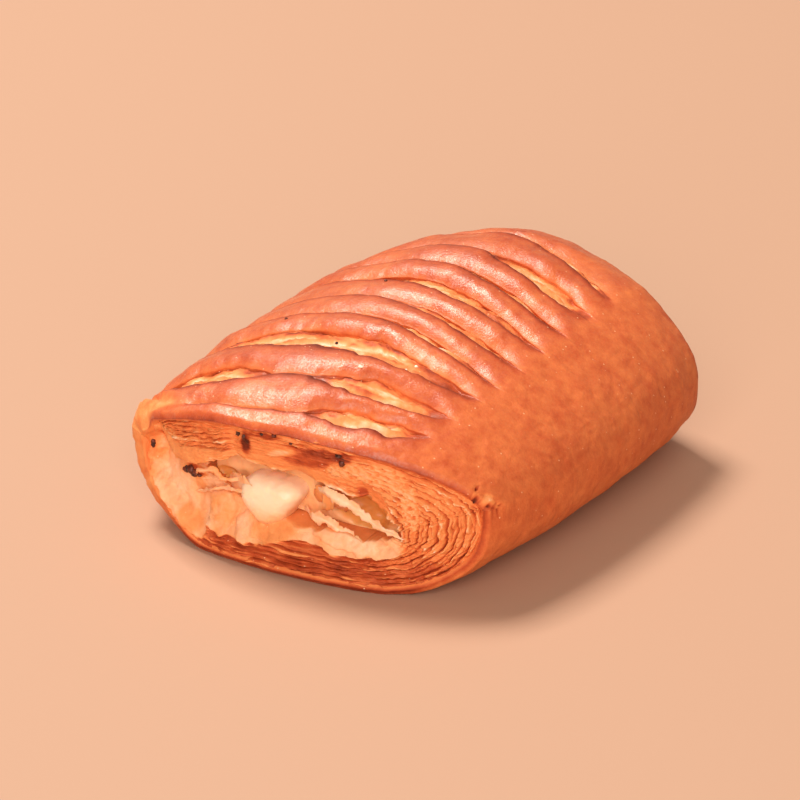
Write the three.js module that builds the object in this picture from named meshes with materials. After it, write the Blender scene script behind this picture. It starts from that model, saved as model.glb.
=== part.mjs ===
// A savory pastry: one sheet of puff pastry folded over a cheese filling.
// The fold is the smooth +X side. The upper flap is slashed across into ribs, arches over the
// filling and rests on the edge of the lower sheet at -X. Both short ends (-Y and +Y) are open
// and show the cut layers, and the filling runs through from end to end.
// Millimetres, +Z up, origin at the middle of the flat base. The camera side is -Y.
import * as THREE from "three";

// Overall sizes of the baked pastry
const LENGTH = 105.4;
const LEFT_REACH = [45.4, -1.8, -5.2]; // widest -X at v = 0, and its change with v and v squared
const RIGHT_REACH = [45.0, 3.0, -4.4]; // the same for the fold side, +X
const HEIGHT = [39.8, 2.9, -5.4]; // top of the arch at v = 0, its change with v and v to the 4th
const WAIST = [17.6, -1.1]; // height of the widest line, and its change with v
const ROUND_TOP_RIGHT = 1.7; // superellipse powers: 2 is an ellipse, more is squarer
const ROUND_TOP_LEFT = 1.8;
const ROUND_BOTTOM_RIGHT = 3.1;
const ROUND_BOTTOM_LEFT = 2.9;
const FRONT_BOW = 9.9; // how far the corners of an end lie behind its middle
const BACK_BOW = 12.5;
const BASE_SAG = 1.0; // the depth that the weight flattens off the round underside
const BASE_SAG_FADE = 4.0; // the height by which the flattening has faded

// The slashes. Across is the angle round the section: 0 is the fold, 90 the top, 180 the left.
const SLASH_RIGHT = 48; // degrees, where the slashes end towards the fold
const SLASH_CROWN = 90;
const SLASH_LEFT = 135;
const RIB_FOOT = 172; // the ribs run down to the lower sheet here
// Each slash: its place along the length at the right end, the crown and the left, its width,
// and the angles between which it gapes. Beyond them its two ribs touch in a crease.
const SLASHES = [
  { right: -42.2, crown: -46.3, left: -50.0, width: 4.0, from: 50, to: 88 },
  { right: -33.3, crown: -36.8, left: -38.0, width: 6.0, from: 50, to: 92 },
  { right: -25.6, crown: -22.0, left: -21.0, width: 7.5, from: 49, to: 168 },
  { right: -17.7, crown: -10.7, left: -7.0, width: 3.2, from: 49, to: 104 },
  { right: -8.7, crown: -2.0, left: 1.0, width: 3.2, from: 48, to: 100 },
  { right: -0.5, crown: 9.3, left: 14.0, width: 3.6, from: 47, to: 124 },
  { right: 8.5, crown: 18.6, left: 21.0, width: 3.2, from: 46, to: 98 },
  { right: 19.5, crown: 27.0, left: 29.0, width: 4.4, from: 45, to: 96 },
  { right: 29.0, crown: 38.6, left: 40.5, width: 2.6, from: 44, to: 100 },
];
const SECOND_GAPE = { slash: 1, width: 8.0, from: 112, to: 160 }; // slash 2 opens again on the left
const SLASH_DEPTH = 3.6;
const CREASE_DEPTH = 1.5;
const CREASE_WIDTH = 0.7;
const SHOULDER = 1.6; // the drop from a rib's crest to its edge
const SHOULDER_WIDTH = 0.8;
const RIB_ROUND = 0.3; // the drop, as a share of the shoulder, a quarter of the way across a rib
const STEP_LEAST = 0.3; // the least distance between two lines of the shell along the length

// The seam on the left flank, where the flap rests on the edge of the lower sheet. At the front
// corner it climbs, because the sheet's corner curls up round the flap's tip.
const SEAM_ANGLE = 184;
const SEAM_CLIMB = 34;
const SEAM_CLIMB_FROM = -0.5; // in v
const SEAM_DEPTH = 1.7;
const SEAM_SPREAD = 5;
const SHEET_EDGE_BELOW = 11; // degrees from the seam to the sheet's edge, which stands out
const SHEET_EDGE_PROUD = 1.0;
const SHEET_EDGE_SPREAD = 12;

// The tunnel through the pastry, which the filling fills, at the front and at the back end
const FRONT_MOUTH = { x: 0.6, z: 15.6, halfWidth: 21.5, up: 5.2, down: 4.6, tilt: -0.083 };
const BACK_MOUTH = { x: 1.5, z: 15.2, halfWidth: 19.5, up: 5.8, down: 4.4, tilt: -0.05 };
const RIM_ROUND = 1.0; // the crust's edge at each end is rounded off by this
const PLIES = 7; // the cut layers that show as ridges on each end
const PLY_HEIGHT = 0.55;
const FLAP_RECESS = 3.2; // how far the mouth lies behind the crust's edge, above,
const FOLD_RECESS = 1.4; // at the fold,
const TIP_RECESS = 2.6; // at the flap's tip
const LIP_RECESS = 6.0; // and below, where the lower sheet's inner face slopes out to its edge
const LIP_SHARE = 0.5; // the share of the way in from the outline where that slope starts
const BUBBLES = 3; // swellings along the sloping inner face
const BUBBLE_HEIGHT = 0.9;

// The filling: it stays back from the mouth, except for one soft lump that hangs out in front
const FILLING_GAP = 0.35;
const FILLING_FRONT = 45.0; // distance of its face from the middle of the length
const FILLING_BACK = 46.5;
const LUMP = { x: -3.6, z: 16.2, halfWidth: 7.6, up: 3.9, down: 3.7, reach: 51.6, droop: 0.9 };
const BACK_LUMP = { x: 4.0, z: 16.0, halfWidth: 8.5, up: 4.0, down: 3.2, reach: 49.8, droop: 0.5 };

// Mesh density
const RING_STEPS_TOP = 36; // from the fold to the left over the top
const RING_STEPS_UNDER = 18;
const PLY_STEPS = 2 * PLIES + 1;
const TUNNEL_STEPS = 4;
const FILLING_RING_STEPS = 40;
const FILLING_BODY_STEPS = 6;
const FILLING_LUMP_STEPS = 6;

const CRUST = new THREE.MeshStandardMaterial({ color: 0xb4622c, roughness: 0.45, metalness: 0 });
const CHEESE = new THREE.MeshStandardMaterial({ color: 0xf6dfae, roughness: 0.4, metalness: 0 });

const radians = THREE.MathUtils.degToRad;
const lerp = THREE.MathUtils.lerp;
const smoothstep = THREE.MathUtils.smoothstep;
const clamp = THREE.MathUtils.clamp;

// A bump of height 1 round a middle, with a given spread
function bell(value, middle, spread) {
  return Math.exp(-(((value - middle) / spread) ** 2));
}

// The smooth outline of the section at v, from -1 at the front to 1 at the back
function outline(degrees, v) {
  const c = Math.cos(radians(degrees));
  const s = Math.sin(radians(degrees));
  const reach = c > 0 ? RIGHT_REACH : LEFT_REACH;
  const topPower = c > 0 ? ROUND_TOP_RIGHT : ROUND_TOP_LEFT;
  const bottomPower = c > 0 ? ROUND_BOTTOM_RIGHT : ROUND_BOTTOM_LEFT;
  const power = 2 / (s > 0 ? topPower : bottomPower);
  const across = Math.sign(c) * Math.abs(c) ** power;
  const up = Math.sign(s) * Math.abs(s) ** power;
  const half = reach[0] + reach[1] * v + reach[2] * v * v;
  const top = HEIGHT[0] + HEIGHT[1] * v + HEIGHT[2] * v ** 4;
  const waist = WAIST[0] + WAIST[1] * v;
  const z = waist + up * (s > 0 ? top - waist : waist);
  const bow = (v < 0 ? FRONT_BOW : -BACK_BOW) * across * across * Math.abs(v) ** 3;
  const flattened = Math.max(0, z - BASE_SAG * bell(z, 0, BASE_SAG_FADE));
  return { x: half * across, y: bow, z: s > 0 ? z : flattened };
}

// The outline moved outwards by a height, square to itself within the section
function raised(degrees, v, height) {
  const here = outline(degrees, v);
  const before = outline(degrees - 1, v);
  const after = outline(degrees + 1, v);
  const tangent = new THREE.Vector2(after.x - before.x, after.z - before.z).normalize();
  const z = here.z - tangent.x * height;
  return { x: here.x + tangent.y * height, y: here.y, z: Math.max(0, z) };
}

// How much of the ribbed range an angle lies in: 1 on the ribs, 0 on the fold and underneath
function ribbed(degrees) {
  const begun = smoothstep(degrees, SLASH_RIGHT - 2, SLASH_RIGHT + 9);
  return begun * (1 - smoothstep(degrees, RIB_FOOT - 4, RIB_FOOT + 5));
}

// A slash's place along the length at an angle: one smooth curve over the top, through its three
// named places. Under the pastry it runs back to its start.
function slashPlace(slash, degrees) {
  const first = (slash.crown - slash.right) / (SLASH_CROWN - SLASH_RIGHT);
  const second = (slash.left - slash.crown) / (SLASH_LEFT - SLASH_CROWN);
  const turn = (second - first) / (SLASH_LEFT - SLASH_RIGHT);
  const over = clamp(degrees, SLASH_RIGHT, SLASH_LEFT);
  const curve = slash.right + (over - SLASH_RIGHT) * (first + turn * (over - SLASH_CROWN));
  return lerp(curve, slash.right, smoothstep(degrees, RIB_FOOT + 8, 350));
}

// How far a slash gapes at an angle: 0 where it is a crease, 1 where it is widest
function gape(range, degrees) {
  if (degrees <= range.from || degrees >= range.to) return 0;
  return Math.sin((Math.PI * (degrees - range.from)) / (range.to - range.from)) ** 0.7;
}

// The lines of the shell along the length at an angle, each with its place and relief
function shellLines(degrees) {
  const on = ribbed(degrees);
  const half = LENGTH / 2;
  const quarter = -RIB_ROUND * SHOULDER * on;
  const lines = [
    { y: -half, height: -RIM_ROUND },
    { y: -half + 0.4 * RIM_ROUND, height: -0.3 * RIM_ROUND },
    { y: -half + 1.6 * RIM_ROUND, height: 0 },
  ];
  SLASHES.forEach((slash, k) => {
    const place = slashPlace(slash, degrees);
    const next = k + 1 < SLASHES.length ? slashPlace(SLASHES[k + 1], degrees) : half - 1;
    let open = gape(slash, degrees);
    let width = slash.width * open;
    if (k === SECOND_GAPE.slash && gape(SECOND_GAPE, degrees) > open) {
      open = gape(SECOND_GAPE, degrees);
      width = SECOND_GAPE.width * open;
    }
    const halfWidth = Math.max(CREASE_WIDTH, width) / 2;
    const floor = -on * lerp(CREASE_DEPTH + SHOULDER, SLASH_DEPTH, open ** 0.5);
    lines.push({ y: place - halfWidth - SHOULDER_WIDTH, height: -SHOULDER * on });
    lines.push({ y: place - 0.7 * halfWidth, height: floor });
    lines.push({ y: place + 0.7 * halfWidth, height: floor });
    const edge = place + halfWidth + SHOULDER_WIDTH;
    const nextEdge = next - edge > 6 ? next - 2.5 : (edge + next) / 2;
    lines.push({ y: edge, height: -SHOULDER * on });
    lines.push({ y: lerp(edge, nextEdge, 0.25), height: quarter });
    lines.push({ y: lerp(edge, nextEdge, 0.5), height: 0 });
    lines.push({ y: lerp(edge, nextEdge, 0.75), height: quarter });
  });
  lines.push({ y: half - 1.6 * RIM_ROUND, height: 0 });
  lines.push({ y: half - 0.4 * RIM_ROUND, height: -0.3 * RIM_ROUND });
  lines.push({ y: half, height: -RIM_ROUND });
  for (let i = 1; i < lines.length; i++) {
    lines[i].y = Math.max(lines[i].y, lines[i - 1].y + STEP_LEAST);
  }
  lines[lines.length - 1].y = half;
  for (let i = lines.length - 2; i > 0; i--) {
    lines[i].y = Math.min(lines[i].y, lines[i + 1].y - STEP_LEAST);
  }
  return lines;
}

// The seam and the lower sheet's edge, which run along the left flank
function flankRelief(degrees, v) {
  const climb = SEAM_CLIMB * smoothstep(-v, -SEAM_CLIMB_FROM, 1);
  const seam = SEAM_ANGLE - climb;
  const proud = SHEET_EDGE_PROUD * bell(degrees, seam + SHEET_EDGE_BELOW, SHEET_EDGE_SPREAD);
  return proud - SEAM_DEPTH * bell(degrees, seam, SEAM_SPREAD);
}

// A point of the tunnel's wall: an ellipse that leans by its tilt, moved inwards by a gap
function mouth(shape, degrees, gap = 0) {
  const c = Math.cos(radians(degrees));
  const s = Math.sin(radians(degrees));
  const offset = (shape.halfWidth - gap) * c;
  const rise = (s > 0 ? shape.up : shape.down) - gap;
  return { x: shape.x + offset, z: shape.z + rise * s + shape.tilt * offset };
}

// The tunnel between its two mouths, at a place y along the length
function tunnel(degrees, y, gap = 0) {
  const front = mouth(FRONT_MOUTH, degrees, gap);
  const back = mouth(BACK_MOUTH, degrees, gap);
  const share = clamp((y + LENGTH / 2) / LENGTH, 0, 1);
  return new THREE.Vector3(lerp(front.x, back.x, share), y, lerp(front.z, back.z, share));
}

// How far an open end's face lies behind the crust's edge. inward is 0 there and 1 at the mouth.
function endRecess(degrees, inward, step, phase) {
  const c = Math.cos(radians(degrees));
  const s = Math.sin(radians(degrees));
  const side = c > 0 ? FOLD_RECESS : TIP_RECESS;
  const slope = Math.max(0, (inward - LIP_SHARE) / (1 - LIP_SHARE));
  const below = LIP_RECESS * slope ** 1.2;
  const above = FLAP_RECESS * inward ** 1.5;
  const vertical = s > 0 ? above : below;
  const bubble = Math.abs(Math.sin(BUBBLES * radians(degrees) + phase));
  const swelling = s < 0 ? BUBBLE_HEIGHT * bubble * Math.sin(Math.PI * slope) * -s : 0;
  const layered = s < 0 ? 1 - slope * -s : 1;
  const inside = inward > 0 && inward < 1 ? 1 : 0;
  const ridge = (step % 2 === 0 ? -0.5 : 0.5) * PLY_HEIGHT * layered * inside;
  const seam = SEAM_DEPTH * bell(degrees, 180, 9) * Math.sin(Math.PI * inward);
  return vertical * s * s + side * inward * c * c - swelling * s * s + ridge + seam + 0.3 * inside;
}

// A point of an open end's face, between the crust's edge and the mouth
function endPoint(sign, degrees, step) {
  const inward = step / PLY_STEPS;
  const edge = raised(degrees, sign, flankRelief(degrees, sign) - RIM_ROUND);
  const rim = mouth(sign < 0 ? FRONT_MOUTH : BACK_MOUTH, degrees);
  const recess = endRecess(degrees, inward, step, sign < 0 ? 0.4 : 1.3);
  const bow = edge.y * (1 - inward) ** 1.3;
  return new THREE.Vector3(
    lerp(edge.x, rim.x, inward),
    (sign * LENGTH) / 2 + bow - sign * recess,
    lerp(edge.z, rim.z, inward),
  );
}

// The pastry is one closed ring surface: the shell from front to back, the back end's face,
// the tunnel and the front end's face
function pastryRing(degrees) {
  const ring = shellLines(degrees).map((line) => {
    const v = (2 * line.y) / LENGTH;
    const point = raised(degrees, v, line.height + flankRelief(degrees, v));
    return new THREE.Vector3(point.x, line.y + point.y, point.z);
  });
  for (let step = 1; step <= PLY_STEPS; step++) {
    ring.push(endPoint(1, degrees, step));
  }
  const backY = ring[ring.length - 1].y;
  const frontY = endPoint(-1, degrees, PLY_STEPS).y;
  for (let step = 1; step < TUNNEL_STEPS; step++) {
    ring.push(tunnel(degrees, lerp(backY, frontY, step / TUNNEL_STEPS)));
  }
  for (let step = PLY_STEPS; step > 0; step--) {
    ring.push(endPoint(-1, degrees, step));
  }
  return ring;
}

// The angles round the section, closer together over the ribs than underneath
function ringAngles() {
  const angles = [];
  for (let k = 0; k < RING_STEPS_TOP; k++) {
    angles.push((180 * k) / RING_STEPS_TOP);
  }
  for (let k = 0; k < RING_STEPS_UNDER; k++) {
    angles.push(180 + (180 * k) / RING_STEPS_UNDER);
  }
  return angles;
}

// A mesh from a grid of points that closes on itself from its last row to its first. A grid with
// poles is closed the other way by a point at each end, and otherwise by its own last column.
function gridGeometry(rows, poles = []) {
  const columns = rows[0].length;
  const positions = rows.flat().concat(poles).flatMap((p) => [p.x, p.y, p.z]);
  const at = (row, column) => (row % rows.length) * columns + (column % columns);
  const faces = [];
  const lastColumn = poles.length ? columns - 1 : columns;
  for (let row = 0; row < rows.length; row++) {
    for (let column = 0; column < lastColumn; column++) {
      faces.push(at(row, column), at(row + 1, column + 1), at(row + 1, column));
      faces.push(at(row, column), at(row, column + 1), at(row + 1, column + 1));
    }
    if (poles.length) {
      const pole = rows.length * columns;
      faces.push(pole, at(row, 0), at(row + 1, 0));
      faces.push(pole + 1, at(row + 1, columns - 1), at(row, columns - 1));
    }
  }
  const geometry = new THREE.BufferGeometry();
  geometry.setAttribute("position", new THREE.Float32BufferAttribute(positions, 3));
  geometry.setIndex(faces);
  geometry.computeVertexNormals();
  return geometry;
}

// One line of the filling from its front tip to its back tip
function fillingRow(degrees) {
  const row = [];
  const lumpPoint = (lump, sign, step) => {
    const t = step / FILLING_LUMP_STEPS; // 0 at the filling's face, 1 at the lump's tip
    const shape = { ...lump, tilt: 0 };
    const size = Math.sqrt(1 - (0.97 * t) ** 3);
    const p = mouth(shape, degrees);
    const start = sign < 0 ? FILLING_FRONT : FILLING_BACK;
    return new THREE.Vector3(
      lerp(lump.x, p.x, size),
      sign * lerp(start, lump.reach, t),
      lerp(lump.z, p.z, size) - lump.droop * t * t,
    );
  };
  for (let step = FILLING_LUMP_STEPS; step > 0; step--) {
    row.push(lumpPoint(LUMP, -1, step));
  }
  for (let step = 0; step <= FILLING_BODY_STEPS; step++) {
    const y = lerp(-FILLING_FRONT, FILLING_BACK, step / FILLING_BODY_STEPS);
    row.push(tunnel(degrees, y, FILLING_GAP));
  }
  for (let step = 1; step <= FILLING_LUMP_STEPS; step++) {
    row.push(lumpPoint(BACK_LUMP, 1, step));
  }
  return row;
}

function pastry() {
  const mesh = new THREE.Mesh(gridGeometry(ringAngles().map(pastryRing)), CRUST);
  mesh.name = "pastry";
  return mesh;
}

function cheeseFilling() {
  const angles = Array.from({ length: FILLING_RING_STEPS }, (_, k) => (360 * k) / FILLING_RING_STEPS);
  const tips = [
    new THREE.Vector3(LUMP.x, -LUMP.reach - 0.2, LUMP.z - LUMP.droop),
    new THREE.Vector3(BACK_LUMP.x, BACK_LUMP.reach + 0.2, BACK_LUMP.z - BACK_LUMP.droop),
  ];
  const mesh = new THREE.Mesh(gridGeometry(angles.map(fillingRow), tips), CHEESE);
  mesh.name = "cheese_filling";
  return mesh;
}

const savoryPastry = new THREE.Group();
savoryPastry.add(pastry(), cheeseFilling());

export default savoryPastry;
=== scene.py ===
"""A savory pastry: one sheet of puff pastry, folded over cheese and slashed into ribs.

The shapes start from the solids' own named sizes, in millimetres, and add what baking did to them:
puffed ribs, torn slashes, separated plies, bubbles, melted cheese and burnt spots.
"""

import math

import bpy
import numpy as np
from mathutils import Matrix, Vector


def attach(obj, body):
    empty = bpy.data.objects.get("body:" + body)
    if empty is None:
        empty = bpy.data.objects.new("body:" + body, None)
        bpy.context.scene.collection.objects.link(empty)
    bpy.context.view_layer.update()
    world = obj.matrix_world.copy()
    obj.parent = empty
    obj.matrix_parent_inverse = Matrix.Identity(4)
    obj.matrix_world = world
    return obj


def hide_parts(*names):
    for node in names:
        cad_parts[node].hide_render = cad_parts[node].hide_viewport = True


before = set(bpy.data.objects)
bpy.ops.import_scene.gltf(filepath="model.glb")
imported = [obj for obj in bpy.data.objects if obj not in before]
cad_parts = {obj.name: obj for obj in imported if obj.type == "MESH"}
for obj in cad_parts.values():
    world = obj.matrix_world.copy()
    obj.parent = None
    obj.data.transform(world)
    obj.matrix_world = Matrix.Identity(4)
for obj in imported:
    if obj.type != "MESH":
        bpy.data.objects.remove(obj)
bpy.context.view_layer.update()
MM = 0.001  # the shapes are worked out in millimetres and the scene is in metres

# Camera: a long lens, from above and to the left of the open front end ---------------------------
# The angles and the focal length in pixels come from the vanishing lines of the photograph.
AZIMUTH = math.radians(28.5)
ELEVATION = math.radians(23.0)
FOCAL_PX = 3534.0
FRAME_PX = 800.0
SENSOR_MM = 36.0
CAMERA_DISTANCE_MM = 721.0
CAMERA_TARGET_MM = Vector((-6.8, 4.2, 15.0))

back_axis = Vector((
    math.sin(AZIMUTH) * math.cos(ELEVATION),
    -math.cos(AZIMUTH) * math.cos(ELEVATION),
    math.sin(ELEVATION),
))
right_axis = Vector((math.cos(AZIMUTH), math.sin(AZIMUTH), 0.0))
up_axis = back_axis.cross(right_axis)
camera_data = bpy.data.cameras.new("camera")
camera_data.sensor_width = SENSOR_MM
camera_data.lens = SENSOR_MM * FOCAL_PX / FRAME_PX
camera_data.clip_end = 10.0


def add_object(name, data):
    """An object with this data, linked to the scene."""
    made = bpy.data.objects.new(name, data)
    bpy.context.scene.collection.objects.link(made)
    return made


camera = add_object("camera", camera_data)
axes = Matrix((right_axis, up_axis, back_axis)).transposed().to_4x4()
place = (CAMERA_TARGET_MM + back_axis * CAMERA_DISTANCE_MM) * MM
camera.matrix_world = Matrix.Translation(place) @ axes
bpy.context.scene.camera = camera

# The crust: the outer ply of the sheet, egg washed and baked -------------------------------------
# One closed shell round the whole length. Nine slashes part its top into ten puffed ribs, which
# lean back towards the fold and gape where the sheet below pushed them apart.
LENGTH = 105.4
HALF = LENGTH / 2
LEFT_REACH = (45.4, -1.8, -5.2)
RIGHT_REACH = (45.0, 3.0, -4.4)
HEIGHT = (39.8, 2.9, -5.4)
WAIST = (17.6, -1.1)
ROUND_TOP = (1.7, 1.8)  # superellipse powers, right and left
ROUND_BOTTOM = (3.1, 2.9)
FRONT_BOW = 9.9
BACK_BOW = 12.5
BASE_SAG = 1.0
BASE_SAG_FADE = 4.0

SLASH_RIGHT, SLASH_CROWN, SLASH_LEFT, BACK_TO_RIGHT = 48.0, 90.0, 135.0, 180.0
# Each slash: its place along the length at its right end, on the crown and on the left, its
# width, and the angles between which it gapes.
SLASHES = (
    (-42.7, -46.6, -48.8, 5.8, 49, 89),
    (-34.5, -35.8, -36.8, 6.8, 50, 97),
    (-25.2, -21.9, -18.8, 8.8, 49, 168),
    (-18.3, -10.2, -6.6, 2.9, 49, 112),
    (-9.2, -1.3, 3.0, 3.1, 49, 104),
    (0.0, 8.9, 13.8, 4.8, 47, 128),
    (9.3, 19.0, 22.6, 2.6, 46, 98),
    (20.5, 29.3, 31.0, 6.2, 45, 88),
    (31.8, 43.5, 41.5, 2.6, 43, 80),
)
SECOND_GAPE = (1, 8.6, 110, 160)  # slash 2 opens again on the left
# Depths below the smooth outline where a slash is closed and where it gapes: of a rib's round
# front edge, of its sharp back edge, and of the torn floor behind that and below the next rib.
FRONT_EDGE, BACK_EDGE = (1.2, 1.6), (1.0, 0.5)
FLOOR_NEAR, FLOOR_FAR, FLOOR_PILLOW = 2.3, 2.1, 0.7
SLASH_WALL, UNDERCUT, UNDERCUT_REACH = 0.35, 0.6, 1.5
SLASH_WANDER, SLASH_RAGGED = 0.35, 0.18  # how far its middle strays, and its width's uneven share
CREASE_DEPTH, CREASE_WIDTH = 0.6, 0.5
RIM_ROUND = 1.0
LOBE_ROUND = 1.1  # the lower sheet's front corner rolls over further than the rest of the rim
# Where the ribs end on the left: (place along the length, angle). They stop short at the front.
RIB_FEET = ((-52.7, 151), (-51.8, 146), (-50.6, 139), (-49.3, 130), (-47, 133), (-43.6, 141), (-40, 151),
            (-36, 168), (-30, 174), (52.7, 174))
RIB_RISE, FEET_FADE = (-2.0, 9.0), 4.0  # degrees in which ribs rise at the right and end at a foot
SEAM_BELOW_FEET, SEAM_DEPTH, SEAM_SPREAD = 9.0, 1.5, 4.5
SHEET_EDGE_BELOW, SHEET_EDGE_PROUD, SHEET_EDGE_SPREAD = 12.0, 1.1, 13.0
SEAM_FADE = (-51.0, -40.0)  # the sheet lies flat towards its front corner
CORNER_DROP, CORNER_FADE = 0.9, (-52.0, -46.0)  # and lower, so that the first ribs lie on it
LOBE_FROM, LOBE_TO = (146.0, 158.0), (222.0, 245.0)
SHEET_FROM_FEET, SHEET_TO = (2.0, 10.0), (205.0, 228.0)  # where the lower sheet is bare and torn
SHEET_GRAIN, SLASH_GRAIN = np.array([1.0, 0.6, 1.6]), np.array([0.35, 1.5, 0.6])
PEELED = dict(degrees=9.0, y=-50.0, half_degrees=12.0, half_y=3.6)  # flaked skin by the front rim
CRUST_COLUMNS, TOP_SHARE = 340, 0.74
RIB_STEPS, GAPE_STEPS, HIDDEN_STEPS = 12, 16, 6
WALL_AT_RIM, WALL_INSIDE, WALL_GROWTH = 0.7, 5.0, 7.0
INNER_SHORT, INNER_LOWEST = 0.4, 0.6  # the inner face stops short of the rims, above the base


def smoothstep(value, low, high):
    """0 below low, 1 above high, and 3t^2 - 2t^3 between."""
    t = np.clip((value - low) / (high - low), 0.0, 1.0)
    return t * t * (3.0 - 2.0 * t)


def falling(value, low, high):
    """1 below low and 0 above high: smoothstep the other way up."""
    return 1.0 - smoothstep(value, low, high)


def bell(value, middle, spread):
    """exp(-((value - middle) / spread)^2), a bump of height 1."""
    return np.exp(-(((value - middle) / spread) ** 2))


def mix(a, b, share):
    """a where share is 0, b where it is 1."""
    return a + (b - a) * share


def follow(value, line):
    """The second number of a path of pairs, between pairs in a straight line."""
    return np.interp(value, [pair[0] for pair in line], [pair[1] for pair in line])


def cos_sin(degrees):
    """The cosine and sine of an angle in degrees."""
    return np.cos(np.radians(degrees)), np.sin(np.radians(degrees))


def points_of(x, y, z):
    """Points from three arrays or numbers, each spread to the shape of the others."""
    return np.stack(np.broadcast_arrays(x, y, z), -1)


def hashed(x, y, z, seed):
    """A repeatable value from 0 to 1 for each cell of whole-number arrays, by mixing bits."""
    h = (x * 374761393) ^ (y * 668265263) ^ (z * 2147483647) ^ (seed * 974634777)
    h = ((h ^ (h >> 13)) * 1274126177) & 0xFFFFFFFF
    return ((h ^ (h >> 16)) & 0xFFFFFF) / float(0xFFFFFF)


def noise(points, size, seed):
    """Smooth noise from -1 to 1 whose features are size wide: hashed corners, faded between."""
    p = points / size
    cell = np.floor(p).astype(np.int64)
    t = p - cell
    t = t * t * (3.0 - 2.0 * t)
    shares = [(1.0 - t[..., k], t[..., k]) for k in range(3)]
    total = 0.0
    for i, j, k in np.ndindex(2, 2, 2):
        value = hashed(cell[..., 0] + i, cell[..., 1] + j, cell[..., 2] + k, seed)
        total = total + shares[0][i] * shares[1][j] * shares[2][k] * value
    return 2.0 * total - 1.0


def rough(points, size, octaves, seed):
    """Octaves of noise, each half as wide and a little over half as high as the last."""
    total, height = 0.0, 1.0
    for octave in range(octaves):
        total = total + height * noise(points, size / 2**octave, seed + octave)
        height *= 0.55
    return total


def pits(points, size, seed):
    """1 at scattered centres, one to a cell, and 0 from 0.45 of a cell away: round pores."""
    p = points / size
    home = np.floor(p).astype(np.int64)
    nearest = np.full(p.shape[:-1], 9.0)
    for offset in np.ndindex(3, 3, 3):
        cell = [home[..., k] + offset[k] - 1 for k in range(3)]
        gap = [cell[k] + hashed(*cell, seed + k) - p[..., k] for k in range(3)]
        nearest = np.minimum(nearest, gap[0] ** 2 + gap[1] ** 2 + gap[2] ** 2)
    return falling(np.sqrt(nearest), 0.12, 0.45)


def flakes(points, size, seed):
    """Terraces: noise cut into steps with steep edges, like torn plies lying over each other."""
    level = 3.0 * rough(points, size, 3, seed)
    tread = np.floor(level)
    return (tread + smoothstep(level - tread, 0.72, 1.0)) / 3.0


def outline(degrees, v):
    """The smooth section at v, -1 front to 1 back: a superellipse whose reach, height and
    powers differ left and right, above and below its waist. Returns x, bow along y, z."""
    c, s = cos_sin(degrees)
    right = c > 0
    power = 2.0 / np.where(s > 0, np.where(right, *ROUND_TOP), np.where(right, *ROUND_BOTTOM))
    across = np.sign(c) * np.abs(c) ** power
    up = np.sign(s) * np.abs(s) ** power
    reach = [np.where(right, r, l) for r, l in zip(RIGHT_REACH, LEFT_REACH)]
    half = reach[0] + reach[1] * v + reach[2] * v * v
    top = HEIGHT[0] + HEIGHT[1] * v + HEIGHT[2] * v**4
    waist = WAIST[0] + WAIST[1] * v
    z = waist + up * np.where(s > 0, top - waist, waist)
    flat = np.maximum(0.0, z - BASE_SAG * bell(z, 0.0, BASE_SAG_FADE))
    bow = np.where(v < 0, FRONT_BOW, -BACK_BOW) * across**2 * np.abs(v) ** 3
    return half * across, bow, np.where(s > 0, z, flat)


def raised(degrees, v, height):
    """The section moved outwards by height, square to itself. Returns x, bow, z."""
    x, bow, z = outline(degrees, v)
    x0, _, z0 = outline(degrees - 1.0, v)
    x1, _, z1 = outline(degrees + 1.0, v)
    run = np.hypot(x1 - x0, z1 - z0) + 1e-9
    return x + (z1 - z0) / run * height, bow, np.maximum(0.0, z - (x1 - x0) / run * height)


def slash_place(slash, degrees):
    """The parabola through a slash's three places, held level underneath."""
    right, crown, left = slash[:3]
    first = (crown - right) / (SLASH_CROWN - SLASH_RIGHT)
    second = (left - crown) / (SLASH_LEFT - SLASH_CROWN)
    turn = (second - first) / (SLASH_LEFT - SLASH_RIGHT)
    over = np.clip(degrees, SLASH_RIGHT, SLASH_LEFT)
    curve = right + (over - SLASH_RIGHT) * (first + turn * (over - SLASH_CROWN))
    return mix(curve, right, smoothstep(degrees, BACK_TO_RIGHT, 350.0))


def gape(start, stop, degrees):
    """sin^0.6 between two angles: how far a slash stands open."""
    t = np.clip((degrees - start) / (stop - start), 0.0, 1.0)
    return np.sin(np.pi * t) ** 0.6


def rib_share(degrees, y):
    """1 on the ribs, 0 on the fold side and below the ribs' feet on the left."""
    rise = smoothstep(degrees, SLASH_RIGHT + RIB_RISE[0], SLASH_RIGHT + RIB_RISE[1])
    feet = follow(y, RIB_FEET)
    return rise * falling(degrees, feet - FEET_FADE, feet + FEET_FADE)


def flank_relief(degrees, y):
    """The seam where the flap rests on the lower sheet, and that sheet's edge below it."""
    seam = follow(y, RIB_FEET) + SEAM_BELOW_FEET
    proud = SHEET_EDGE_PROUD * bell(degrees, seam + SHEET_EDGE_BELOW, SHEET_EDGE_SPREAD)
    from_corner = smoothstep(y, *SEAM_FADE)
    return (proud - SEAM_DEPTH * bell(degrees, seam, SEAM_SPREAD)) * from_corner


def lobe(degrees):
    """1 round the left front corner, where the lower sheet's own skin rolls over the rim."""
    return smoothstep(degrees, *LOBE_FROM) * falling(degrees, *LOBE_TO)


def corner_drop(degrees, y):
    """How much lower the lower sheet lies at the left front corner."""
    return CORNER_DROP * lobe(degrees) * falling(y, *CORNER_FADE)


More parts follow.
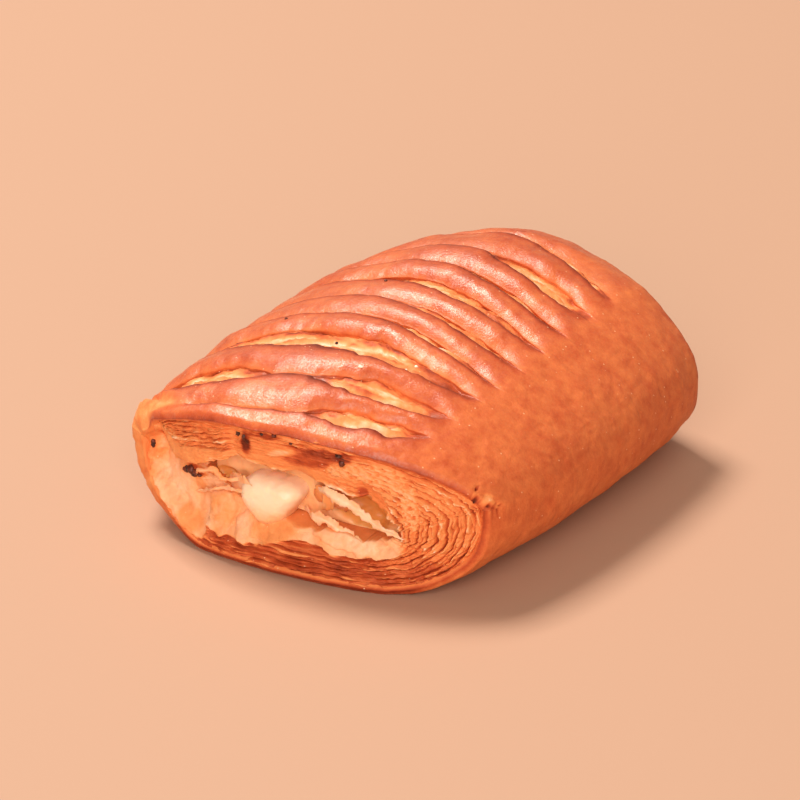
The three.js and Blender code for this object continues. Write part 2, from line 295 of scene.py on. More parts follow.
def grid_faces(rows, columns, poles=False, first=0):
    """Quads between the points of a grid that closes on itself both ways, or whose columns end in
    fans to two poles that follow its points."""
    r = np.arange(rows)[:, None]
    c = np.arange(columns - 1 if poles else columns)[None, :]
    r2, c2 = (r + 1) % rows, (c + 1) % columns
    quads = np.stack([r * columns + c, r * columns + c2, r2 * columns + c2, r2 * columns + c], -1)
    fans = np.zeros((0, 3), int)
    if poles:
        near = np.arange(rows)
        far = (near + 1) % rows
        start = np.stack([near * columns, far * columns, np.full(rows, rows * columns)], -1)
        stop = np.stack([far * columns, near * columns, np.full(rows, rows * columns + 1)], -1)
        stop[:, :2] += columns - 1
        fans = np.vstack([start, stop])
    return quads.reshape(-1, 4) + first, fans + first


def mesh_object(name, vertices, quads, fans, values):
    """A smooth mesh from points in millimetres and outward faces. values holds named numbers
    for each point, kept as attributes for the material."""
    mesh = bpy.data.meshes.new(name)
    mesh.vertices.add(len(vertices))
    mesh.vertices.foreach_set("co", (vertices * MM).astype(np.float32).ravel())
    corners = np.concatenate([quads.ravel(), fans.ravel()])
    starts = np.concatenate([np.arange(len(quads)) * 4, quads.size + np.arange(len(fans)) * 3])
    mesh.loops.add(len(corners))
    mesh.loops.foreach_set("vertex_index", corners.astype(np.int32))
    mesh.polygons.add(len(starts))
    mesh.polygons.foreach_set("loop_start", starts.astype(np.int32))
    mesh.polygons.foreach_set("use_smooth", np.ones(len(starts), bool))
    mesh.update(calc_edges=True)
    mesh.validate()
    for key, value in values.items():
        attribute = mesh.attributes.new(key, "FLOAT", "POINT")
        attribute.data.foreach_set("value", value.astype(np.float32))
    return add_object(name, mesh)


def grid_object(name, points, values, poles=None):
    """mesh_object for one grid of points, with the values on the same grid."""
    rows, columns = points.shape[:2]
    vertices = points.reshape(-1, 3)
    flat = {key: np.broadcast_to(value, (rows, columns)).ravel() for key, value in values.items()}
    if poles is not None:
        vertices = np.vstack([vertices, poles])
        flat = {key: np.append(value, value[[0, -1]]) for key, value in flat.items()}
    quads, fans = grid_faces(rows, columns, poles is not None)
    return mesh_object(name, vertices, quads, fans, flat)


top_columns = int(CRUST_COLUMNS * TOP_SHARE)
degrees = np.concatenate([
    np.linspace(0.0, 180.0, top_columns, endpoint=False),
    np.linspace(180.0, 360.0, CRUST_COLUMNS - top_columns, endpoint=False),
])
along = points_of(degrees / 12.0, 0.0, 0.0)
level = degrees * 0.0
# One line of points for each step along the length: its place, how far it lies across its rib
# (-1 the front edge, 1 the back edge) or across its slash (0 the near side, 1 the far side), how
# open the nearest slash is, whether it is in the slash and how close to its sides, and which way
# it leans below a rib.
lines = []
edge_before, open_before = np.full_like(degrees, -HALF), level
for k, slash in enumerate(SLASHES + (None,)):
    if slash is None:
        low, opened = np.full_like(degrees, HALF), level
    else:
        opened = gape(slash[4], slash[5], degrees)
        width = slash[3] * opened
        if k == SECOND_GAPE[0]:
            second = gape(SECOND_GAPE[2], SECOND_GAPE[3], degrees)
            width = np.where(second > opened, SECOND_GAPE[1] * second, width)
            opened = np.maximum(opened, second)
        wander = SLASH_WANDER * rough(along + k * 7.3, 0.8, 3, 11)
        ragged = 1.0 + SLASH_RAGGED * rough(along + k * 3.1, 0.45, 3, 23)
        half_width = np.maximum(CREASE_WIDTH, width * ragged) / 2.0
        middle = slash_place(slash, degrees) + wander
        low, high = middle - half_width, middle + half_width
    count = RIB_STEPS + (5 if k in (0, len(SLASHES)) else 0)
    even = np.linspace(0.0, 1.0, count, endpoint=False)
    for share in 0.5 * (even + 0.5 - 0.5 * np.cos(np.pi * even)):
        across = 2.0 * share - 1.0
        if k == 0 and across < 0 or slash is None and across > 0:
            across = 0.0  # the first and last ribs run on to the rims without a shoulder
        nearest = opened if share > 0.5 else open_before
        lines.append((mix(edge_before, low, share), level + across, level, nearest, level, level))
    if slash is None:
        break
    for share in 0.5 - 0.5 * np.cos(np.pi * np.linspace(0.0, 1.0, GAPE_STEPS, endpoint=False)):
        inward = (1.0 - abs(2.0 * share - 1.0)) * half_width
        lines.append((mix(low, high, share), level + 1.0 - 2.0 * share, level + share, opened,
                      smoothstep(inward, 0.0, np.minimum(SLASH_WALL, half_width)),
                      np.sign(share - 0.5) * falling(inward, SLASH_WALL, UNDERCUT_REACH)))
    edge_before, open_before = high, opened
lines.append((np.full_like(degrees, HALF), level, level, level, level, level))

line_y, across, over_slash, opened, wall, under = (np.stack(kind, 1) for kind in zip(*lines))
line_y = np.maximum.accumulate(line_y, axis=1)
line_y = np.minimum.accumulate(line_y[:, ::-1], axis=1)[:, ::-1]
undercut = UNDERCUT * under * wall * opened
angle = np.broadcast_to(degrees[:, None], line_y.shape)
v = line_y / HALF
on_ribs = rib_share(angle, line_y)
smooth_x, smooth_bow, smooth_z = outline(angle, v)
spot = points_of(smooth_x, line_y + smooth_bow, smooth_z)
gaping = wall * opened * on_ribs
grain = spot * SLASH_GRAIN  # torn plies are drawn out along the slash

# ribs: a broad round flank faces forwards, and a sharp edge backwards
wide = opened**1.3
in_slash = wall > 0.0
front_part = np.where(in_slash, over_slash, np.clip(-across, 0.0, 1.0) ** 2.0)
back_part = np.where(in_slash, 1.0 - over_slash, np.clip(across, 0.0, 1.0) ** 5.0)
depth = front_part * mix(*FRONT_EDGE, wide) + back_part * mix(*BACK_EDGE, wide)
pillow = FLOOR_PILLOW * np.sin(np.pi * over_slash) ** 0.7
torn_floor = mix(FLOOR_NEAR, FLOOR_FAR, over_slash) - pillow
depth = mix(depth, mix(depth + CREASE_DEPTH, torn_floor, wide), wall)
height = -on_ribs * depth
edge = np.clip(np.abs(across), 0.0, 1.0) ** 2.5
puffed = on_ribs * (1.0 - gaping) * (1.0 - 0.6 * edge)
height += puffed * (0.55 * noise(spot, 10.0, 3) + 0.28 * noise(spot, 4.5, 5))
height += (1.0 - gaping) * (0.05 * rough(spot, 1.2, 2, 71) - 0.10 * pits(spot, 2.2, 73))
height += (1.0 - on_ribs) * 0.20 * rough(spot, 7.0, 3, 41)
height += gaping * (0.8 * flakes(grain, 2.6, 57) + 0.15 * rough(spot, 0.9, 2, 61))
feet = follow(line_y, RIB_FEET)
sheet = smoothstep(angle, feet + SHEET_FROM_FEET[0], feet + SHEET_FROM_FEET[1])
sheet *= falling(angle, *SHEET_TO)
height += sheet * (0.45 * rough(spot * SHEET_GRAIN, 3.6, 3, 81))
height -= (1.0 - on_ribs) * corner_drop(angle, line_y)
from_peel = np.hypot((angle - PEELED["degrees"]) / PEELED["half_degrees"],
                     (line_y - PEELED["y"]) / PEELED["half_y"])
peeled = falling(from_peel + 0.35 * rough(spot, 2.0, 3, 85), 0.8, 1.0)
peel_pits = pits(spot, 1.7, 87)
peel_flakes = flakes(spot, 1.6, 89)
height -= peeled * (0.30 + 0.55 * peel_pits - 0.10 * peel_flakes)
from_rim = HALF - np.abs(line_y)
front_lobe = lobe(angle) * (v < 0)
rim = falling(from_rim, 0.0, 1.6 * RIM_ROUND + 3.0 * front_lobe)
height -= (RIM_ROUND + LOBE_ROUND * front_lobe) * rim**2
x, bow, z = raised(angle, v, height + flank_relief(angle, line_y))
rim_wave = rim * 0.22 * rough(spot, 2.5, 3, 83)
outer = points_of(x, line_y + bow - rim_wave * np.sign(line_y) + undercut * on_ribs, z)

inner = []  # the hidden inner face of the shell, from the back rim to the front rim
for share in np.linspace(0.0, 1.0, HIDDEN_STEPS):
    y_line = mix(HALF - INNER_SHORT, -HALF + INNER_SHORT, smoothstep(share, 0.0, 1.0))
    thick = mix(WALL_AT_RIM, WALL_INSIDE, smoothstep(HALF - abs(y_line), 0.0, WALL_GROWTH))
    sunk = flank_relief(degrees, y_line) - RIM_ROUND - thick
    sunk -= LOBE_ROUND * lobe(degrees) * falling(y_line, -HALF, -HALF + 9.0)
    sunk -= corner_drop(degrees, y_line)
    inner_x, inner_bow, inner_z = raised(degrees, y_line / HALF, sunk)
    inner.append(points_of(inner_x, y_line + inner_bow, np.maximum(inner_z, INNER_LOWEST)))
crust_points = np.concatenate([outer, np.stack(inner, 1)], 1)

# how far each point is baked, and painted shade: dark on the crowns, orange on the ribs' front flanks,
# pale gold on the torn floors, orange below, and a pale bumpy edge where the lower sheet shows on the
# left. Painted shade darkens the slashes' walls and closed creases, the sides of the torn floors and the
# flaked patch's pits
patchy = rough(spot, 7.0, 3, 91)
bake_and_shade = 0.62 + 0.03 * patchy + 0.025 * rough(spot, 1.5, 2, 95)
orange_lip = smoothstep(-across, 0.6, 1.0)
dark_crest = smoothstep(across, 0.20, 0.95)
lumpy = noise(spot, 10.0, 3)
bake_and_shade += on_ribs * (0.03 + 0.05 * lumpy - 0.06 * orange_lip + 0.23 * dark_crest)
streaks = rough(spot * np.array([0.3, 1.8, 1.0]), 1.5, 3, 103)  # run along the slash
floor_tone = 0.37 + 0.26 * flakes(grain, 2.6, 57) + 0.16 * rough(grain, 1.4, 3, 101) + 0.28 * streaks
# darker along both sides of the floor, under the ribs' lips: partly browning, partly painted shade
floor_tone += 0.26 * smoothstep(over_slash, 0.60, 0.95)
floor_tone += 0.10 * falling(over_slash, 0.05, 0.3)
# painted shade in the slashes' walls and closed creases, over the crust's brown: darkest on the near
# side, under the rib's edge, and where the slash stays shut
crease_shade = 0.68 + 0.14 * (1.0 - over_slash) + 0.06 * (1.0 - opened)
bake_and_shade = mix(bake_and_shade, crease_shade, smoothstep(wall * on_ribs, 0.05, 0.35))
bake_and_shade = mix(bake_and_shade, floor_tone, smoothstep(gaping, 0.4, 0.9))
lower = falling(smooth_z, 1.0, 16.0) * (1.0 - on_ribs)
bake_and_shade = mix(bake_and_shade, 0.55 + 0.04 * patchy, lower)
bake_and_shade += 0.16 * falling(smooth_z, 0.0, 2.5)
bake_and_shade = mix(bake_and_shade, 0.42 + 0.15 * rough(spot, 2.4, 4, 111), sheet)
# the flaked patch: darker in its pits, which is painted shade, and paler on its flakes
bake_and_shade = mix(bake_and_shade, 0.48 + 0.42 * peel_pits - 0.24 * peel_flakes, peeled)
bake_and_shade += 0.16 * rim**3 * (1.0 - front_lobe)
sheen = 1.0 - 0.75 * smoothstep(across, 0.1, 0.7) - smoothstep(-across, 0.85, 1.0)
sheen *= 0.8 + 0.35 * rough(grain, 3.0, 3, 121)
glaze = on_ribs * sheen + (1.0 - on_ribs) * 0.25 * smoothstep(np.sin(np.radians(angle)), -0.1, 0.5)
glaze = np.clip(glaze, 0.0, 1.0) * (1.0 - gaping) * (1.0 - sheet) * (1.0 - peeled)


def with_hidden(value, fill):
    """Values for the outer lines, then a constant for the hidden inner face."""
    return np.concatenate([value, np.full((value.shape[0], HIDDEN_STEPS), fill)], 1)


crust = grid_object("pastry_crust", crust_points, {
    "bake_and_shade": with_hidden(bake_and_shade, 0.5),
    "glaze": with_hidden(glaze, 0.0),
})


def linear(hex_colour):
    """An sRGB hex colour as the linear RGBA that Blender's sockets take."""
    channels = [int(hex_colour[i:i + 2], 16) / 255.0 for i in (1, 3, 5)]
    return [c / 12.92 if c <= 0.04045 else ((c + 0.055) / 1.055) ** 2.4 for c in channels] + [1.0]


def add_node(tree, kind, links=None, values=None, **settings):
    """A shader node with its own settings, its sockets' values, and the outputs that feed its
    sockets, which are named or numbered. Returns the node."""
    node = tree.nodes.new("ShaderNode" + kind)
    for key, value in settings.items():
        setattr(node, key, value)
    for socket, value in (values or {}).items():
        node.inputs[socket].default_value = value
    for socket, source in (links or {}).items():
        tree.links.new(source, node.inputs[socket])
    return node


def new_material(name, values):
    """A material whose Principled shader has these values. Returns it, its tree and the shader."""
    material = bpy.data.materials.new(name)
    material.use_nodes = True
    shader = material.node_tree.nodes["Principled BSDF"]
    for socket, value in values.items():
        shader.inputs[socket].default_value = value
    return material, material.node_tree, shader


def colour_ramp(tree, value, stops):
    """A colour ramp over value with (place, hex colour) stops. Returns its colour output."""
    node = add_node(tree, "ValToRGB", {"Fac": value})
    elements = node.color_ramp.elements
    for place, colour in stops[2:]:
        elements.new(place)
    for element, (place, colour) in zip(elements, stops):
        element.position = place
        element.color = linear(colour)
    return node.outputs["Color"]


# Baked puff pastry: starch and butter browned by heat under a coat of egg. Browning runs from
# cream through gold and orange to red-brown, in patches, with fine specks where the egg blistered.
# The darker end of this ramp also colours the painted shade in creases, gaps between plies and pits.
BAKE_COLOURS = (
    (0.00, "#f7d8b8"), (0.16, "#f2b68a"), (0.34, "#ea965a"),
    (0.52, "#e07c44"), (0.70, "#bb4f28"), (0.86, "#822810"), (1.00, "#3b120a"),
)
MOTTLE_MM, SPECK_MM, BLISTER_MM = 3.0, 1.3, 0.5
SPECK_COLOUR = "#fcc79a"
UNEVEN_SHINE = 0.24  # how far the roughness wanders from blister to blister


def pastry_material(name, mottling, coat, dull, bright, blister_depth):
    """Pastry coloured by its bake_and_shade attribute, which holds browning and painted shade, with
    mottling, pale specks and a blistered skin.
    Its roughness runs from dull to bright as its glaze attribute rises, and the coat of egg
    gathers in fine beads: its weight rises from 0.3 of coat to coat over the blisters."""
    material, tree, shader = new_material(name, {
        "Coat Roughness": 0.33, "Coat IOR": 1.62, "Specular IOR Level": 0.38,
        "Specular Tint": linear("#ffe2c4"), "Subsurface Weight": 0.10,
        "Subsurface Radius": (1.0, 0.45, 0.18), "Subsurface Scale": 0.001,
    })
    place = add_node(tree, "TexCoord").outputs["Object"]
    bake_and_shade_fac = add_node(tree, "Attribute", attribute_name="bake_and_shade").outputs["Fac"]
    glazed = add_node(tree, "Attribute", attribute_name="glaze").outputs["Fac"]
    mottle = add_node(tree, "TexNoise", {"Vector": place},
                      {"Scale": 1000.0 / MOTTLE_MM, "Detail": 8.0, "Roughness": 0.74})
    patch = add_node(tree, "Math", {0: mottle.outputs["Fac"]},
                     {1: mottling, 2: -0.5 * mottling}, operation="MULTIPLY_ADD")
    tone = add_node(tree, "Math", {0: bake_and_shade_fac, 1: patch.outputs[0]}, operation="ADD")
    colour = colour_ramp(tree, tone.outputs[0], BAKE_COLOURS)
    speck = add_node(tree, "TexVoronoi", {"Vector": place}, {"Scale": 1000.0 / SPECK_MM})
    dot = add_node(tree, "MapRange", {"Value": speck.outputs["Distance"]},
                   {"From Min": 0.06, "From Max": 0.16, "To Min": 0.8, "To Max": 0.0})
    few = add_node(tree, "Math", {0: speck.outputs["Color"]}, {1: 0.72}, operation="GREATER_THAN")
    shown = add_node(tree, "Math", {0: dot.outputs[0], 1: few.outputs[0]}, operation="MULTIPLY")
    specked = add_node(tree, "Mix", {0: shown.outputs[0], 6: colour},
                       {7: linear(SPECK_COLOUR)}, data_type="RGBA")
    tree.links.new(specked.outputs[2], shader.inputs["Base Color"])
    blister = add_node(tree, "TexNoise", {"Vector": place},
                       {"Scale": 1000.0 / BLISTER_MM, "Detail": 3.0, "Roughness": 0.65})
    raised_dots = add_node(tree, "Math", {0: shown.outputs[0], 2: blister.outputs["Fac"]},
                           {1: 0.5}, operation="MULTIPLY_ADD")
    bump = add_node(tree, "Bump", {"Height": raised_dots.outputs[0]},
                    {"Strength": 1.0, "Distance": blister_depth * MM})
    tree.links.new(bump.outputs["Normal"], shader.inputs["Normal"])
    tree.links.new(bump.outputs["Normal"], shader.inputs["Coat Normal"])
    shine = add_node(tree, "MapRange", {"Value": glazed},
                     {"To Min": dull - UNEVEN_SHINE / 2, "To Max": bright - UNEVEN_SHINE / 2})
    uneven = add_node(tree, "Math", {0: blister.outputs["Fac"], 2: shine.outputs[0]},
                      {1: UNEVEN_SHINE}, operation="MULTIPLY_ADD")
    tree.links.new(uneven.outputs[0], shader.inputs["Roughness"])
    beads = add_node(tree, "MapRange", {"Value": blister.outputs["Fac"]},
                     {"From Min": 0.42, "From Max": 0.60, "To Min": 0.30 * coat, "To Max": coat})
    layer = add_node(tree, "Math", {0: glazed, 1: beads.outputs[0]}, operation="MULTIPLY")
    tree.links.new(layer.outputs[0], shader.inputs["Coat Weight"])
    return material


crust.data.materials.append(pastry_material("egg_washed_pastry", 0.33, 1.00, 0.66, 0.40, 0.10))
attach(crust, "root")
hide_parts("pastry")

# The open ends: the plies where the sheet was cut ------------------------------------------------
# Each end is one closed ring: its face from the crust's edge in to the mouth, the first stretch of
# the tunnel, and a hidden back. Plies wrap round the fold and the base. At the front the flap's
# plies close to a wedge on the left, over the torn and pillowed inner face of the lower sheet.
FRONT_MOUTH = dict(x=0.6, z=15.6, half=21.5, up=5.2, down=4.6, tilt=-0.083)
BACK_MOUTH = dict(x=1.5, z=15.2, half=19.5, up=5.8, down=4.4, tilt=-0.05)
MOUTH_ROUND = 0.78
FLAP_RECESS, FOLD_RECESS, TIP_RECESS, LIP_RECESS, LIP_SHARE = 3.2, 1.4, 2.6, 6.0, 0.5
END_COLUMNS, END_STEPS, TUNNEL_STEPS = 640, 136, 10
TUNNEL_END = 15.0
BACK_PROUD = 1.4
FACE_Y = HALF - 0.35  # the faces start this far along, just inside the rims
RING_PLIES, WEDGE_PLIES = 10.0, 6.0
INNER_DEPTH, INNER_RISE = 5.6, 4.2
# Paths of (x, height) across the front: the underside of the flap's plies, the underside of the
# soft ply below them, and the top of the layered band along the base.
FLAP_UNDERSIDE = ((-36.0, 24.2), (-33.6, 23.0), (-31.9, 21.6), (-29.3, 20.7), (-27.1, 20.7),
                  (-22.4, 21.9), (-18.7, 22.6), (-13.0, 23.0))
SOFT_UNDERSIDE = ((-36.0, 23.2), (-33.0, 20.6), (-31.3, 18.4), (-29.2, 17.1), (-23.4, 18.0),
                  (-17.6, 19.8), (-12.0, 21.3))
BAND_TOP = ((-43.5, 16.0), (-40.9, 11.0), (-37.8, 8.2), (-34.5, 6.0), (-31.2, 4.6), (-27.7, 3.1),
            (-22.6, 2.4), (-21.2, 2.6), (-20.2, 5.6), (-17.2, 5.3), (-11.4, 5.3), (-7.8, 5.4),
            (-2.4, 7.4), (2.0, 8.4), (5.3, 7.6), (8.1, 6.7), (12.7, 6.5), (18.0, 7.4), (24.0, 9.5))
# Patches of the front face: x, height, half width, half height, turn in degrees, how proud the
# middle stands, bake, how much of that bake shows, and how much of the plies stays.
FRONT_PATCHES = (
    (-2.0, 24.6, 13.0, 3.6, -3, 0.2, 0.46, 0.8, 0.35),  # melted over under the crust
    (-8.0, 22.6, 6.0, 1.6, -8, 0.3, 0.40, 0.9, 0.05),  # golden shoulder above the cheese
    (3.0, 21.8, 7.5, 1.6, -6, 0.2, 0.42, 0.9, 0.05),
    (3.3, 25.4, 6.6, 2.4, 12, 0.0, 0.78, 0.9, 0.60),  # brown stain
    (-10.7, 25.9, 1.5, 3.4, -4, -0.4, 0.92, 1.0, 0.10),  # dark run of juice
    (-2.6, 25.6, 3.6, 1.2, 18, 0.3, 0.18, 0.9, 0.30),  # pale flake
    (8.0, 27.3, 9.0, 1.2, -3, 0.1, 0.86, 0.8, 0.90),  # dark edge under the crust
    (-26.0, 15.2, 4.6, 2.0, 12, 0.6, 0.40, 0.8, 0.00),
    (-31.0, 10.0, 7.4, 5.2, -38, 0.9, 0.13, 0.8, 0.00),  # pale pillow on the left
    (-25.5, 5.2, 4.0, 2.4, -30, 0.2, 0.46, 0.5, 0.60),
    (-17.6, 9.4, 3.6, 4.4, 4, 1.9, 0.33, 0.8, 0.05),  # golden pillow
    (-11.3, 7.6, 2.8, 2.8, 8, 1.2, 0.15, 0.9, 0.00),  # pale pillow
    (-4.0, 8.9, 6.0, 2.3, 14, 0.9, 0.36, 0.9, 0.00),  # soaked dough under the cheese
    (12.6, 9.6, 9.6, 2.1, -5, 1.3, 0.15, 1.0, 0.00),  # cream band under the hollow
    (6.2, 10.3, 2.6, 1.8, -30, 0.6, 0.22, 0.8, 0.00),
    (17.0, 19.4, 4.6, 1.9, -38, -0.8, 0.52, 0.9, 0.05),  # soft pocket above the hollow
    (14.2, 19.8, 1.0, 1.9, 10, -0.3, 0.80, 0.9, 0.20),
    (-25.0, 15.4, 3.4, 1.7, 6, -0.2, 0.84, 0.85, 0.10),  # scorched round the burnt drops
    (-34.8, 18.9, 1.3, 1.9, 0, -0.3, 0.82, 0.85, 0.10),
    (11.0, 27.2, 2.4, 1.6, 0, 0.0, 0.88, 0.85, 0.50),
    (-6.0, 28.6, 5.5, 0.8, 4, 0.0, 0.84, 0.80, 0.60),
)
CRUMB_PATCHES = ((17.5, 24.3, 7.6, 2.7, -6), (24.3, 18.9, 1.9, 4.6, 12), (9.5, 24.0, 3.0, 1.6, 0))
PORE_MM, PORE_DEPTH = 1.0, 0.7


def mouth(shape, degrees, grow=0.0):
    """A superellipse that leans by its tilt: x and z of the tunnel's wall."""
    c, s = cos_sin(degrees)
    c, s = np.sign(c) * np.abs(c) ** MOUTH_ROUND, np.sign(s) * np.abs(s) ** MOUTH_ROUND
    offset = (shape["half"] + grow) * c
    rise = np.where(s > 0, shape["up"], shape["down"]) + grow
    return shape["x"] + offset, shape["z"] + rise * s + shape["tilt"] * offset


def ellipse_share(x, z, middle_x, middle_z, half_x, half_z, turn):
    """The distance from an ellipse's middle, 1 at its edge."""
    c, s = math.cos(math.radians(turn)), math.sin(math.radians(turn))
    dx, dz = x - middle_x, z - middle_z
    return np.hypot((dx * c + dz * s) / half_x, (dz * c - dx * s) / half_z)


def ply_relief(ply, run, parted, seed):
    """Cut plies: a gap at each whole number that opens and closes along the run, finer gaps
    between, and frayed edges. parted is the usual depth of the gaps. Returns the depth in
    millimetres and how deep in a gap it is."""
    path = points_of(run, ply * 2.1, seed)
    ply = ply + 0.13 * rough(path, 3.2, 3, seed + 41)
    index = np.floor(ply)
    within = ply - index
    path = points_of(run, index * 5.3, seed)
    strength = np.clip(parted + 0.7 * rough(path, 6.0, 3, seed + 13), 0.0, 1.3)
    sharp = 0.10 + 0.06 * noise(path, 2.5, seed + 5)
    gap = bell(np.minimum(within, 1.0 - within), 0.0, sharp) * strength
    fine = bell(np.abs(within - 0.5 + 0.18 * rough(path, 2.5, 2, seed + 31)), 0.0, 0.06)
    fine *= np.clip(0.2 + 1.3 * noise(path, 3.5, seed + 37), 0.0, 1.0)
    whole = index.astype(np.int64)
    lift = 0.5 * (hashed(whole, whole * 0, whole * 0, seed + 3) - 0.5)
    frayed = 0.42 * rough(points_of(run * 0.5, ply * 2.4, seed), 0.8, 3, seed + 7)
    bulge = 0.30 * (1.0 - (2.0 * within - 1.0) ** 2)
    return 0.95 * gap + 0.55 * fine - lift - frayed - bulge, np.maximum(gap, 0.7 * fine)


def plain_recess(degrees, inward):
    """How far an end's face lies behind the crust's edge: hollow above, a sloping lip below."""
    c, s = cos_sin(degrees)
    slope = np.clip((inward - LIP_SHARE) / (1.0 - LIP_SHARE), 0.0, 1.0)
    vertical = np.where(s > 0, FLAP_RECESS * inward**1.5, LIP_RECESS * slope**1.2)
    side = np.where(c > 0, FOLD_RECESS, TIP_RECESS) * inward
    return vertical * s * s + side * c * c


def back_face(angle, inward, px, pz, *_):
    """The far end: plies all round, and a smooth inner face along the lower lip."""
    flat = points_of(px, pz, 900.0)
    slope = np.clip((inward - LIP_SHARE) / (1.0 - LIP_SHARE), 0.0, 1.0)
    below = smoothstep(-np.sin(np.radians(angle)), 0.15, 0.55)
    smooth = smoothstep(slope + 0.05 * noise(flat, 3.0, 905), 0.02, 0.12) * below
    ply = RING_PLIES * (inward + 0.045 * rough(flat, 6.0, 3, 911))
    relief, gap = ply_relief(ply, angle * 0.45, 0.7, 300)
    pillows = 0.9 * noise(flat, 6.0, 921) + 0.3 * noise(flat, 2.0, 923)
    recess = plain_recess(angle, inward) + mix(relief, pillows, smooth)
    # darker in the gaps between the plies: painted shade
    bake_and_shade = mix(0.40 + 0.08 * rough(flat, 5.0, 3, 931), 0.75, np.clip(gap, 0.0, 1.0))
    bake_and_shade = mix(bake_and_shade, 0.16 + 0.10 * rough(flat, 4.0, 3, 933), smooth)
    return recess + 0.3, bake_and_shade + 0.22 * falling(inward, 0.0, 0.08)


def front_face(angle, inward, px, pz, edge_x, edge_z):
    """The near end, from its named paths and patches."""
    flat = points_of(px, pz, 500.0)
    s = np.sin(np.radians(angle))
    wx, wz = px + 0.5 * rough(flat, 3.0, 3, 501), pz + 0.45 * rough(flat, 3.0, 3, 511)
    left = falling(wx, -16.0, -11.0)
    above_flap = wz - follow(wx, FLAP_UNDERSIDE)
    wedge = smoothstep(above_flap, -0.15, 0.2) * left
    above_soft = wz - follow(wx, SOFT_UNDERSIDE)
    soft = smoothstep(above_soft, -0.2, 0.3) * left * (1.0 - wedge)
    above_band = wz - follow(wx, BAND_TOP)
    reach = np.maximum(falling(s, -0.02, 0.08), left)
    inner = smoothstep(above_band, -0.1, 0.35) * reach * falling(wx, 21.0, 25.0)
    inner = inner * (1.0 - wedge) * (1.0 - soft)
    # plies: rings round the fold, and a fan that closes at the flap's tip
    ring_ply = RING_PLIES * (inward + 0.05 * rough(flat, 6.0, 3, 521))
    upper = angle[:, 0] < 180.0
    crust_z = np.interp(px, edge_x[upper, 0][::-1], edge_z[upper, 0][::-1])
    thick = np.maximum(0.6, crust_z - follow(px, FLAP_UNDERSIDE))
    fan_ply = WEDGE_PLIES * np.clip(above_flap / thick, 0.0, 1.2) + 0.22 * rough(flat, 3.0, 3, 531)
    bottom = falling(pz, 5.0, 12.0)
    to_fold = smoothstep(px, 12.0, 20.0)
    parted = mix(0.25, 0.85, np.maximum(to_fold, 0.3 * bottom))
    relief, gap = ply_relief(ring_ply, angle * 0.45, parted, 200)
    fan_relief, fan_gap = ply_relief(fan_ply, px, 0.8, 240)
    squeeze = smoothstep(thick, 0.6, 3.5)
    relief = mix(relief, fan_relief * squeeze, wedge)
    gap = mix(gap, fan_gap * squeeze, wedge)
    keep = (1.0 - inner) * (1.0 - 0.75 * soft) * (1.0 - lobe(angle) * (1.0 - wedge) * 0.85)
    recess = plain_recess(angle, inward)
    recess = mix(recess, 0.5 + 1.2 * (1.0 - np.clip(above_flap / thick, 0.0, 1.0)), wedge)
    recess = mix(recess, 2.2 - 0.9 * smoothstep(above_soft, 0.0, 2.2), soft)
    # the bowl starts level with the rim, so that the crust's inner wall stays hidden
    bowl = INNER_DEPTH * (1.0 - np.exp(-np.maximum(above_band, 0.0) / INNER_RISE))
    bowl = bowl * smoothstep(inward, 0.0, 0.26) - 0.35 * rough(flat, 3.5, 3, 541)
    recess = mix(recess, bowl, inner)
    bake_and_shade = 0.44 + 0.07 * rough(flat, 5.0, 3, 551) + 0.06 * rough(flat, 1.4, 3, 559)
    bake_and_shade = bake_and_shade + 0.25 * bottom * (1.0 - inner) + 0.05 * wedge
    bake_and_shade = mix(bake_and_shade, 0.38 + 0.06 * rough(flat, 1.6, 3, 552), soft)
    bake_and_shade = mix(bake_and_shade, 0.24 + 0.12 * rough(flat, 3.0, 3, 553), inner)
    rolled = lobe(angle) * falling(inward, 0.16, 0.36)
    bake_and_shade = mix(bake_and_shade, 0.36 + 0.20 * rough(flat, 2.2, 4, 555), rolled)
    recess -= 0.8 * rolled * rough(flat, 2.4, 3, 557)
    for number, patch in enumerate(FRONT_PATCHES):
        share = ellipse_share(wx, wz, *patch[:5]) + 0.16 * rough(flat, 1.8, 2, 600 + number)
        mask = falling(share, 0.45, 1.1)
        dome = np.sqrt(np.clip(1.0 - share**2, 0.0, 1.0))
        recess -= patch[5] * dome
        bake_and_shade = mix(bake_and_shade, patch[6] + 0.05 * rough(flat, 1.2, 2, 640 + number), mask * patch[7])
        keep *= mix(1.0, patch[8], mask)
    pores = pits(flat, PORE_MM, 561) + 0.6 * pits(flat, PORE_MM * 0.55, 565)
    for patch in CRUMB_PATCHES:
        share = ellipse_share(wx, wz, *patch) + 0.25 * rough(flat, 2.2, 3, 571)
        mask = falling(share, 0.7, 1.1)
        keep *= 1.0 - 0.75 * mask
        recess += mask * (PORE_DEPTH * pores - 0.2)
        # darker in the pores: painted shade
        bake_and_shade = mix(bake_and_shade, 0.26 + 0.22 * pores, mask * 0.85)
    # painted shade in the gaps between the plies, and a painted highlight on their proud edges
    bake_and_shade = mix(bake_and_shade, 0.84, np.clip(gap * keep, 0.0, 1.0))
    painted_edge_highlight = smoothstep(-relief, 0.25, 0.75) * keep
    bake_and_shade -= 0.34 * painted_edge_highlight
    bake_and_shade += 0.22 * falling(inward, 0.0, 0.06) * (1.0 - lobe(angle))
    return recess + relief * keep + 0.3 + 0.10 * rough(flat, 1.0, 3, 581), bake_and_shade


